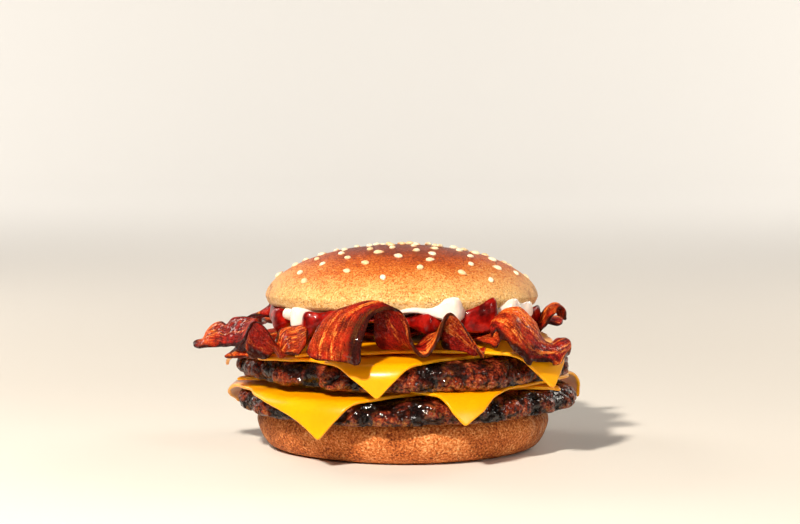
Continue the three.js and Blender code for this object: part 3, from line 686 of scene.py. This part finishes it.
PATTY_LEVELS = [(0.955, 0, 0.3), (0.99, 0.18, 1), (0.995, 0.5, 1), (0.98, 0.8, 1), (0.93, 1, 0)]
LOWER = Patty(None, 7.4, (0.006, 70), [(2, 0.7, 120), (3, 0.6, 200)],
              [(82, 12, 2.6), (-84, 16, 1.2)],
              [-172, -148, -118, -92, -66, -47, -13, 7, 31, 52, 71, 96, 124, 151], 40)
UPPER = Patty(LOWER, 7.5, (0.022, 30), [(2, 0.6, 10), (3, 0.7, 80)],
              [(72, 16, 1.4), (-100, 20, 0.8)],
              [-160, -131, -104, -78, -55, -36, -17, 12, 38, 63, 88, 113, 139, 166], 60)


def patty_piece(patty, name):
    """Rim profiles carried round the axis, cut by the grill's notches, then pushed in and out by
    grains of mince of three sizes with creases between them."""
    az = around(SIDES["patty"])
    rim = patty.rim(az) + ripple(az, PATTY_LUMPS)
    wobble = 2.2 * np.sin(np.radians(5 * az + patty.seed))
    notch = sum(bump(turn(az + wobble, at), NOTCH["half"]) for at in patty.notches)
    zero, bend = 0 * rim, SAG["from"] + 0 * rim
    profile = [(r, patty.base(r, az)) for r in (zero, bend)]
    for share, up, cut in PATTY_LEVELS:
        r = rim * share - cut * NOTCH["deep"] * notch
        profile.append((r, patty.base(r, az) * (1 - up) + patty.flat_top(r, az) * up + sag(r)))
    profile += [(r, patty.flat_top(r, az)) for r in (bend, zero)]
    r, z = rim_rows(profile, [3, 20, 9, 11, 11, 10, 24, 3])
    grid, seed = on_rim(az, r, z), patty.seed
    height = (z - patty.base(r, az) - sag(r)) / patty.thickness
    flat = grid * (1, 1, 1.25)
    coarse = nuggets(flat, 6.5, seed)
    mid = nuggets(flat + lumps(flat, 4, 9)[..., None], 2.9, seed + 5)
    small = nuggets(flat, 1.3, seed + 9)
    push = 1.8 * (coarse - 0.74) + 0.95 * (mid - 0.74) + 0.3 * (small - 0.7)
    wall = ease(0.02, 0.16, height) * (1 - ease(0.84, 1.0, height))
    outer = ease(SAG["from"] + 4, SAG["from"] + 12, r)
    grid = swell(grid, wall * push + (1 - wall) * outer * np.minimum(0.6 * push, 0.15))
    patches = rough(grid, 8, seed + 13)
    char = np.clip(1.25 * notch * (0.55 + 0.6 * patches) + 1.2 * ease(0.3, 0.7, patches), 0, 1)
    fat = np.clip(ease(0.55, 0.05, height) + 0.5 * ease(0.15, 0.5, rough(grid, 5, seed + 17)), 0, 1)
    # Where the beef's painted shade goes: the creases between coarse and middle grains.
    crease = np.clip(1.6 * ease(0.66, 0.36, coarse) + ease(0.64, 0.38, mid), 0, 1)
    return round_piece(name, grid, {"char": char, "fat": fat, "crease": crease})


def square_reach(az, corner, shift):
    """Distance along an azimuth to the edge of a shifted square, with its corners a little rounded:
    the soft least of the distances to its four sides."""
    total, sharp = 0, 70
    for quarter in (45, 135, 225, 315):
        face = math.radians(corner + quarter)
        side = SLICE["side"] / 2 + shift[0] * math.sin(face) - shift[1] * math.cos(face)
        total = total + (np.maximum(np.cos(np.radians(az) - face), 1e-3) / side) ** sharp
    return total ** (-1 / sharp)


def square_azimuths(corner, shift, steps):
    """Azimuths round a slice, closer together near its corners."""
    half = SLICE["side"] * math.sqrt(0.5)
    corners = [azimuth_of(*(on_rim(corner + q, half, 0.0)[:2] + shift)) for q in (0, 90, 180, 270)]
    t = np.arange(steps) / steps
    share = t - 0.75 * np.sin(2 * np.pi * t) / (2 * np.pi)
    spans = [(turn(corners[(k + 1) % 4], corners[k]) + 360) % 360 for k in range(4)]
    return np.concatenate([c + span * share for c, span in zip(corners, spans)])


def slice_piece(name, patty, layer, corner, shift, hang, melt, seed):
    """A square slice that lies on its patty, bends down over the rim on an arc and then hangs free.
    Its two faces are joined by a round edge, and low waves run through both."""
    az = square_azimuths(corner, shift, SIDES["slice_quarter"])[:, None]
    thick, bend, fine = SLICE["thickness"], SLICE["bend"], SLICE["fine_from"]
    lift = GAP + layer * (thick + SLICE["gap"])
    start = patty.rim(az) - SLICE["before_rim"]
    reach = square_reach(az, corner, shift) + sum_bumps(az, melt)
    reach = reach + 0.35 * np.sin(np.radians(az * 23)) * ease(0, 6, start - reach + 6)
    arc = bend * math.radians(hang)
    round_off = np.radians(np.linspace(0, 180, 13))[None]
    inner = np.r_[0, 12, 24, np.linspace(SAG["from"], fine, 4)[:-1]][None] + 0 * az
    outer = fine + (reach - thick / 2 - fine) * np.linspace(0, 1, 26, endpoint=False)[None]
    face = np.c_[inner, outer]
    edge = reach - thick / 2 + thick / 2 * np.sin(round_off)
    flat = np.c_[face, edge, face[:, ::-1]]
    high = np.c_[0 * face + lift, lift + thick / 2 * (1 - np.cos(round_off)) + 0 * az,
                 0 * face + lift + thick]
    map_place = on_rim(az, flat, 30.0 * (layer + 1) + seed)
    high = high + 0.22 * lumps(map_place, 11, seed) * ease(36, 46, flat)
    high = high + 0.5 * lumps(map_place, 16, seed + 3) * ease(2, 8, flat - start)
    past = np.maximum(flat - start, 0)
    bent, free = np.minimum(past, arc) / bend, np.maximum(past - arc, 0)
    r = np.minimum(flat, start) + (bend + high) * np.sin(bent) + free * np.cos(bent)
    drop = bend - (bend + high) * np.cos(bent) + free * np.sin(bent)
    return round_piece(name, on_rim(az, r, patty.top(np.minimum(flat, start), az) - drop))


SLICES = {
    "cheese_lower_under": (LOWER, 0, -19.5, (-9.2, -1.3), 80, [(-110, 12, -9), (-52, 14, 2.6)]),
    "cheese_lower_over": (LOWER, 1, 11, (8.2, 3), 76, [(99, 12, -9), (62, 16, 2)]),
    "cheese_upper_under": (UPPER, 0, -5, (-3.6, -2.1), 80,
                           [(-97, 12, -6.5), (-55, 14, 4.5), (33, 12, 3), (84, 12, -7)]),
    "cheese_upper_over": (UPPER, 1, 48, (3.8, 0), 70, [(-40, 12, -8), (-68, 14, 6)]),
}


# A station gives a ribbon's outer edge (x, y, height) and its inner edge (x, y, height). camber
# arches it across its width, most at the share that crest gives, or else halfway. tan lists orange
# patches: where along the ribbon, their half length and strength. scorch lists dark ones: where
# along it, half length, where across it, half width and strength.
RASHERS = {
    "bacon_front_left": {
        "camber": 1.0, "sag": (0.78, 0.05, 5),
        "tan": [(0.1, 0.07, 0.9), (0.86, 0.14, 0.7)],
        "scorch": [(0.3, 0.12, 0.5, 0.9, 0.5), (0.0, 0.05, 0.5, 0.9, 0.9)],
        "stations": [
            (-72, -15, 35.1, -72.2, -8, 36.3), (-69.1, -18, 36, -68.4, -9, 37.1),
            (-66.5, -20, 36.4, -66.9, -10, 40.7), (-64, -22, 36.6, -64.4, -12, 43.3),
            (-61.8, -24, 36.9, -61.8, -14, 44.1), (-59.6, -27, 37.2, -59.6, -19, 43.8),
            (-57.4, -30, 37.6, -57.8, -19, 46), (-55.2, -33, 38.1, -54.9, -22, 46.8),
            (-53.3, -36, 39.7, -51.9, -26, 46.9), (-51.7, -38.5, 43, -49.7, -29, 46.6),
            (-50, -41, 46.2, -48.5, -32, 45.9), (-48.1, -43, 47.3, -51.9, -37.5, 39.2),
            (-46.2, -44.5, 46.3, -51.4, -39.5, 36.1), (-44.5, -45.5, 44.4, -48.3, -41.5, 35.3),
            (-42.8, -46.5, 41.9, -45, -43, 35.5), (-40.8, -47, 39.3, -42.5, -40, 40.1),
            (-38.5, -48, 37.6, -41.7, -35, 43.6), (-36.5, -48.5, 37, -39.8, -33, 44.3),
            (-34.5, -48.5, 37.3, -36.8, -32, 44.6), (-32.9, -47.5, 38.7, -34.5, -32, 44.9),
            (-31.3, -46, 40.2, -32.1, -32, 45.2)],
    },
    "bacon_front": {
        "camber": 1.0, "tan": [(0.06, 0.08, 0.5)],
        "scorch": [(0.06, 0.16, 0.12, 0.2, 0.9), (0.24, 0.06, 0.5, 0.9, 0.35),
                   (0.64, 0.08, 0.5, 0.9, 0.7)],
        "stations": [
            (-14, -66, 34.5, -31.5, -60, 36.6), (-13, -65.5, 42.6, -30.5, -59, 43),
            (-10.5, -61.5, 49.8, -25.5, -55, 50.4), (-7.5, -59, 52.4, -17.5, -52, 53.6),
            (-4, -58, 53.4, -10, -50.5, 53.8), (-1, -58, 52.4, -9, -48.5, 42.2),
            (1.5, -58.5, 48.6, -6, -49, 38.4), (3, -59, 43, -1.5, -49, 37.8),
            (5, -59, 38.4, 4, -46.5, 39.2), (8, -59, 37.8, 8.5, -45.5, 44),
            (11, -58, 42.6, 11.5, -45.5, 43.8), (13.3, -57, 49.3, 12.5, -48, 42.1),
            (15.3, -56.5, 51.9, 13.4, -50, 39.3), (17.9, -56, 50, 16, -51, 38.5),
            (20.2, -55.5, 46.9, 19.3, -52.5, 37.7), (22.8, -55, 42.2, 22.5, -53.5, 36.8),
            (25.1, -54.5, 37.9, 25.5, -51, 36.5), (26.4, -54, 36.1, 27.6, -48, 38.8)],
    },
    "bacon_front_right": {
        "camber": 3.2, "crest": 0.3, "tan": [(0.3, 0.16, 0.8)],
        "scorch": [(0.55, 0.2, 0.1, 0.25, 0.6)],
        "stations": [
            (28, -52, 43.2, 31, -43, 47.2), (31.5, -54, 43.6, 33.5, -44, 51),
            (34.5, -55, 41.6, 37, -43.5, 52.2), (37.5, -54, 37.6, 40.5, -42, 50.8),
            (41, -51.5, 34.8, 43.5, -39.5, 46.8), (44.5, -48, 33.2, 46.5, -36.5, 41.2),
            (49.2, -43.8, 33, 49.5, -32, 38.4), (54, -37.2, 33.6, 52, -25.5, 39.4),
            (57, -29.5, 35.4, 54, -19.5, 37.8)],
    },
    "bacon_across_front": {
        "camber": 0.8, "tan": [(0.93, 0.12, 0.9)],
        "stations": [
            (-32, -26, 40, -30, -14, 40.6), (-19, -29, 42, -18, -15, 41.6),
            (-6, -31, 40, -5, -17, 40.4), (7, -33, 42.2, 8, -20, 41.6),
            (18, -36, 40.6, 20, -24, 41), (26, -41, 40.6, 29, -31, 44.6),
            (31, -46.5, 38.6, 36, -37, 45.6)],
    },
    "bacon_across_middle": {
        "camber": 0.8, "tan": [(0.03, 0.1, 0.9), (0.88, 0.08, 0.8)],
        "stations": [
            (-47.5, -35.5, 33.6, -61, -28.5, 33.6), (-46.5, -30, 37, -58, -21.5, 35),
            (-42, -19, 39, -51, -9, 39.4), (-31, -10.5, 41.2, -33, 3, 40.6),
            (-19, -9, 39.4, -20, 5, 39.4), (-7, -9.2, 42, -7, 5, 41.5),
            (7, -9.5, 39.6, 7, 4.5, 39.6), (21, -9.5, 42.2, 21, 4.5, 41.5),
            (34, -11, 39.8, 34, 2.5, 40), (43, -13, 39.4, 42.5, -1, 40),
            (48, -13.4, 41.5, 47, -2, 44), (51.5, -13.4, 47.2, 50, -2.5, 48),
            (54.8, -13, 48.2, 52.5, -2.5, 48.5), (56.2, -12.5, 44, 54, -2.5, 44.5)],
    },
}


def ruffle(start, end, bow, width, waves, high, count):
    """Stations of a ribbon that waves along an arc: its path bows out from the line between two
    points, and its two edges, which lie across the path, rise and fall in opposite phase."""
    t = np.linspace(0, 1, count)
    start, end = np.array(start, float), np.array(end, float)
    ahead = unit(end - start)
    aside = np.array([-ahead[1], ahead[0]])
    middle = start + np.outer(t, end - start) + np.outer(bow * np.sin(np.pi * t), aside)
    slope = bow * np.pi * np.cos(np.pi * t) / np.linalg.norm(end - start)
    across = unit(aside - np.outer(slope, ahead))
    wave = np.cos(2 * np.pi * waves * t)[:, None]
    reach = 0.5 * np.sqrt(width**2 - (high * wave) ** 2)
    level = RASHER["back_level"] + 0.4 * high * np.sin(4 * np.pi * waves * t)[:, None]
    return np.hstack([middle - across * reach, level + high * wave / 2, middle + across * reach,
                      level - high * wave / 2])


for rasher_name, rule in {
    "bacon_across_back": ((-50, 16), (57, 17), 3, 14, 4.5, 2.5, 19),
    "bacon_back_right": ((53, 31), (2, 54), -9, 13, 3, 9, 13),
    "bacon_back_left": ((-5, 53), (-52, 31), -9, 13, 2.75, 9, 13),
}.items():
    RASHERS[rasher_name] = {"camber": 0.8, "tan": [(0.3, 0.1, 0.5), (0.8, 0.08, 0.6)],
                            "stations": ruffle(*rule)}


def along_stations(stations, t):
    """Uniform Catmull-Rom through a row of stations, at t from 0 to 1."""
    rows = np.array(stations, float)
    last = len(rows) - 1
    index = np.minimum((t * last).astype(int), last - 1)
    f = (t * last - index)[..., None]
    p0, p1, p2, p3 = (rows[np.clip(index + k, 0, last)] for k in (-1, 0, 1, 2))
    return 0.5 * (2 * p1 + (p2 - p0) * f + (2 * p0 - 5 * p1 + 4 * p2 - p3) * f**2
                  + (3 * p1 - p0 - 3 * p2 + p3) * f**3)


def rasher_surface(rasher, t, s):
    """The middle of a ribbon: a straight line from its outer to its inner edge, arched by the
    camber, kept above the cheese and, under the crown, below the sauces."""
    edges = along_stations(rasher["stations"], t)
    outer, inner = edges[..., :3], edges[..., 3:]
    x, y, z = np.moveaxis(outer + (inner - outer) * s[..., None], -1, 0)
    q = np.clip(s, 0, 1) ** (math.log(0.5) / math.log(rasher.get("crest", 0.5)))
    at, half, deep = rasher.get("sag", (0, 1, 0))
    z = z + (rasher["camber"] - deep * bump(t - at, half)) * 4 * q * (1 - q)
    r, az = np.hypot(x, y), azimuth_of(x, y)
    tilt = math.tan(math.radians(CROWN["tilt"]))
    ceiling = CROWN["base"] - y * tilt - SAUCE_DEPTH - RASHER["rest"]
    z = np.minimum(z, ceiling + RASHER["rise"] * np.maximum(r - KETCHUP_RADIUS, 0))
    bed = UPPER.top(np.minimum(r, PATTY_RADIUS), az) + STACK + RASHER["rest"]
    z = np.maximum(z, bed - RASHER["fall"] * np.maximum(r - PATTY_RADIUS, 0))
    return np.stack([x, y, z], -1)


def rasher_piece(name, rasher, seed):
    """Two faces either side of the ribbon's middle surface, thinning to nothing at its edge. Its
    ends are torn and rounded off at their corners. Streaks of fat run along it and stand a little
    proud, and its edges curl and char."""
    path, wide = np.array(rasher["stations"], float), RASHER["width"]
    length = np.linalg.norm(np.diff(path[:, :3] + path[:, 3:], axis=0) / 2, axis=1).sum()
    v = np.linspace(0, 1, RASHER["columns"])
    t = np.linspace(0, 1, int(length / RASHER["row"]))[:, None] + 0 * v
    s = (0.55 * v + 0.45 * (0.5 - 0.5 * np.cos(np.pi * v)))[None] + 0 * t
    edge, end = np.abs(2 * s - 1), (2 * t - 1) ** 9
    torn = lumps(np.stack([0 * t + seed, s * wide, 0 * t], -1), 3.5, seed + 1) * end
    spread = np.clip(t - (0.6 * torn + (0.3 + 1.8 * edge**6) * end) / length, 0, 1)
    flat = np.stack([t * length, s * wide, 0 * t + 50.0 * seed], -1)
    frill = 0.9 * lumps(flat * (1, 0.2, 1), 6, seed) * (edge**3) * np.where(s > 0.5, 1, -1)
    ragged = s + 0.035 * lumps(flat * (1, 0, 1), 3.2, seed + 2) * (2 * s - 1) * edge
    middle = rasher_surface(rasher, spread, ragged)
    curl = 0.35 * frill + 0.25 * lumps(flat, 4.5, seed + 4)
    middle = middle + grid_normals(middle, False) * curl[..., None]
    warped = s + 0.09 * lumps(flat * (1, 0.4, 1), 17, seed + 5) + 0.03 * lumps(flat, 4, seed + 6)
    shift = 0.3 * (chance(seed, 8) - 0.5)
    streaks = rough(np.stack([flat[..., 0] / 7, warped * wide, flat[..., 2]], -1), 3.4, seed + 7, 2)
    fat = 0.7 * bump(warped - 0.24 - shift, 0.07) + 0.8 * bump(warped - 0.62 - shift, 0.09)
    fat = np.clip(0.75 * fat + ease(0.02, 0.42, streaks), 0, 1)
    fat = np.clip(fat * (0.75 + 0.5 * lumps(flat * (1, 0.5, 1), 7, seed + 8)), 0, 1)
    tan = sum(high * bump(t - at, half) for at, half, high in rasher["tan"])
    tan = np.clip(tan * (0.7 + 0.5 * lumps(flat, 5, seed)), 0, 1)
    to_end = np.minimum(t, 1 - t) * length
    to_edge = np.minimum(np.minimum(s, 1 - s) * wide, to_end)
    char = (0.8 * ease(1.15, 0.2, to_edge + 0.7 * lumps(flat, 5, seed + 9))
            + 0.9 * ease(0.34, 0.6, rough(flat * (0.5, 1, 1), 7, seed + 11)))
    for at, half, across, reach, high in rasher.get("scorch", ()):
        char = char + high * bump(t - at, half) * bump(s - across, reach)
    half = RASHER["thickness"] / 2 * (0.86 + 0.22 * fat + 0.12 * lumps(flat, 2.4, seed + 12))
    half = half * np.sqrt(np.maximum(1 - edge**8, 0)) * np.sqrt(ease(0, 1.6, to_end))
    half[[0, -1]] = 0
    half[:, [0, -1]] = 0
    return sheet_piece(name, middle, half, {"fat": fat, "char": np.clip(char, 0, 1), "tan": tan},
                       flat[..., :2] * MM)


# A drip is (azimuth, half width, how far it runs down, how far out, how far up the bun).
MAYONNAISE = {"top": -0.45, "bottom": -1.7, "radius": 42.8, "seed": 300, "drips": [
    (-49, 5.5, 5.4, 6.6, 1.4), (-59, 5, 1.6, 4.4, 0.6), (-14, 9, -0.8, 4.4, 1.2),
    (4, 9, -1.8, 5, 2.2), (20, 8, 1.6, 7.2, 5.6), (50, 9, 1.4, 6.2, 4.4), (66, 8, 1.6, 5.4, 2.6),
    (112, 9, 4.2, 5.6, 1.6), (158, 12, 1.6, 4.8, 2.6), (-128, 9, 3.6, 5.4, 2)]}
KETCHUP = {"top": -2.2, "bottom": -SAUCE_DEPTH, "radius": KETCHUP_RADIUS, "seed": 320, "drips": [
    (-68, 8, 4.4, 2.6, 2.2), (-43, 4.5, 6.4, 4.2, 1.6), (-30, 8, 0.8, 2.2, 2.6),
    (10, 7, 3.6, 3.6, 2.6), (30, 7, 3.4, 4, 3), (38, 5, 2, 4.6, 6), (84, 9, 2.6, 3.2, 2.6),
    (136, 9, 3, 3.4, 2.2), (-165, 10, 2.6, 3.4, 2.4), (-100, 9, 2.8, 3, 2.2)]}


def sauce_piece(name, sauce):
    """A thin bed under the crown. Its rim profile bulges, and at each drip it runs down, out and up
    the bun by bells round the axis."""
    az = around(SIDES["sauce"])
    drop, out, rise = (sum_bumps(az, [(*drip[:2], drip[k]) for drip in sauce["drips"]])
                       for k in (2, 3, 4))
    top, bottom, radius = sauce["top"], sauce["bottom"], sauce["radius"]
    rim = radius + out + ripple(az, [(9, 0.4, 30)])
    zero = 0 * rim
    r, z = rim_rows([(zero, bottom), (zero + radius - 4, bottom), (rim - 2.6, bottom - 0.75 * drop),
                     (rim - 1.1, bottom - drop), (rim, bottom - 0.7 * drop + 0.4),
                     (rim + 0.1, 0.4 * (bottom - drop) + 0.6 * (top + rise)),
                     (rim - 1.0, top + rise), (zero + radius - 3, top), (zero, top)],
                    [3, 10, 8, 8, 10, 10, 12, 3])
    grid = on_rim(az, r, z)
    grid = swell(grid, ease(radius - 6, radius - 1, r) * 0.45 * rough(grid, 5, sauce["seed"]))
    return round_piece(name, on_lid(grid))


beef, cheese, bacon = beef_finish(), cheese_finish(), bacon_finish()
dress(heel(), bread_finish(), "bun_heel")
dress(crown(), crust_finish(), "bun_crown")
dress(seeds(), seed_finish(), "bun_crown")
dress(patty_piece(LOWER, "lower_patty"), beef, "patty_lower")
dress(patty_piece(UPPER, "upper_patty"), beef, "patty_upper")
for number, (node, shape) in enumerate(SLICES.items()):
    piece = slice_piece(node.replace("cheese", "slice"), *shape, 80 + 7 * number)
    dress(piece, cheese, node)
for number, (node, rasher) in enumerate(RASHERS.items()):
    piece = rasher_piece(node.replace("bacon", "rasher"), rasher, 120 + 20 * number)
    dress(piece, bacon, node)
dress(sauce_piece("ketchup_bed", KETCHUP), ketchup_finish(), "ketchup")
dress(sauce_piece("mayonnaise_bed", MAYONNAISE), mayonnaise_finish(), "mayonnaise")


def floor():
    """A pale round floor that turns up into a wall all round, so that no edge shows."""
    az = around(SIDES["floor"])
    bend = np.radians(np.linspace(0, 90, 25))[None]
    r = np.c_[0 * az + FLOOR["inner"], FLOOR["flat"] + FLOOR["bend"] * np.sin(bend) + 0 * az]
    z = np.c_[0 * az, FLOOR["bend"] * (1 - np.cos(bend)) + 0 * az] + FLOOR["level"]
    grid = on_rim(az, r, z)
    points = np.r_[[(0, 0, FLOOR["level"])], grid.reshape(-1, 3)]
    at = 1 + np.arange(grid[..., 0].size).reshape(grid.shape[:2])
    after = np.roll(at, -1, 0)
    middle = np.c_[0 * at[:, 0], at[:, 0], after[:, 0]]
    piece = put_mesh("floor", points, weave(after, at), middle)
    f = Finish("floor", {"Roughness": 0.6, "Base Color": colour(226, 222, 216)})
    piece.data.materials.append(f.material)


def aim(thing, place, target):
    """Puts a lamp or camera at a place, looking at a target, both in millimetres."""
    thing.location = Vector(place) * MM
    thing.rotation_euler = (Vector(target) - Vector(place)).to_track_quat("-Z", "Y").to_euler()
    bpy.context.scene.collection.objects.link(thing)


def lamp(name, place, size, power, tint, target=(0, 0, 35)):
    """A square soft light: its place and target in millimetres, its size in millimetres, its power
    in watts."""
    data = bpy.data.lights.new(name, "AREA")
    data.size, data.energy, data.color = size * MM, power, tint
    aim(bpy.data.objects.new(name, data), place, target)


floor()
lamp("key", (-280, -640, 600), 70, 12.5, (1.0, 0.9, 0.76))
lamp("fill", (600, -700, 300), 160, 1.5, (1.0, 0.94, 0.86))
lamp("back_left", (-520, 420, 420), 300, 2.2, (1.0, 0.92, 0.82))
lamp("back_right", (560, 380, 420), 300, 2.2, (1.0, 0.92, 0.82))
lamp("wall_left", (-900, 1000, 900), 500, 15, (1.0, 0.98, 0.95), (-300, 2400, 300))
lamp("wall_right", (900, 1000, 900), 500, 15, (1.0, 0.98, 0.95), (300, 2400, 300))

world = bpy.data.worlds.new("studio")
world.use_nodes = True
glow = world.node_tree.nodes["Background"].inputs
glow["Color"].default_value, glow["Strength"].default_value = (1, 0.985, 0.96, 1), 0.06
bpy.context.scene.world = world
bpy.context.scene.view_settings.view_transform = "Standard"

VIEW = {"elevation": 5.0, "distance": 900.0, "target": (-1.0, 0.0, 63.6), "lens": 116.7,
        "sensor": 36.0, "near": 0.05, "far": 20.0}
optics = bpy.data.cameras.new("camera")
optics.lens, optics.sensor_width = VIEW["lens"], VIEW["sensor"]
optics.clip_start, optics.clip_end = VIEW["near"], VIEW["far"]
camera = bpy.data.objects.new("camera", optics)
tipped = math.radians(VIEW["elevation"])
offset = Vector((0, -math.cos(tipped), math.sin(tipped))) * VIEW["distance"]
aim(camera, Vector(VIEW["target"]) + offset, VIEW["target"])
bpy.context.scene.camera = camera
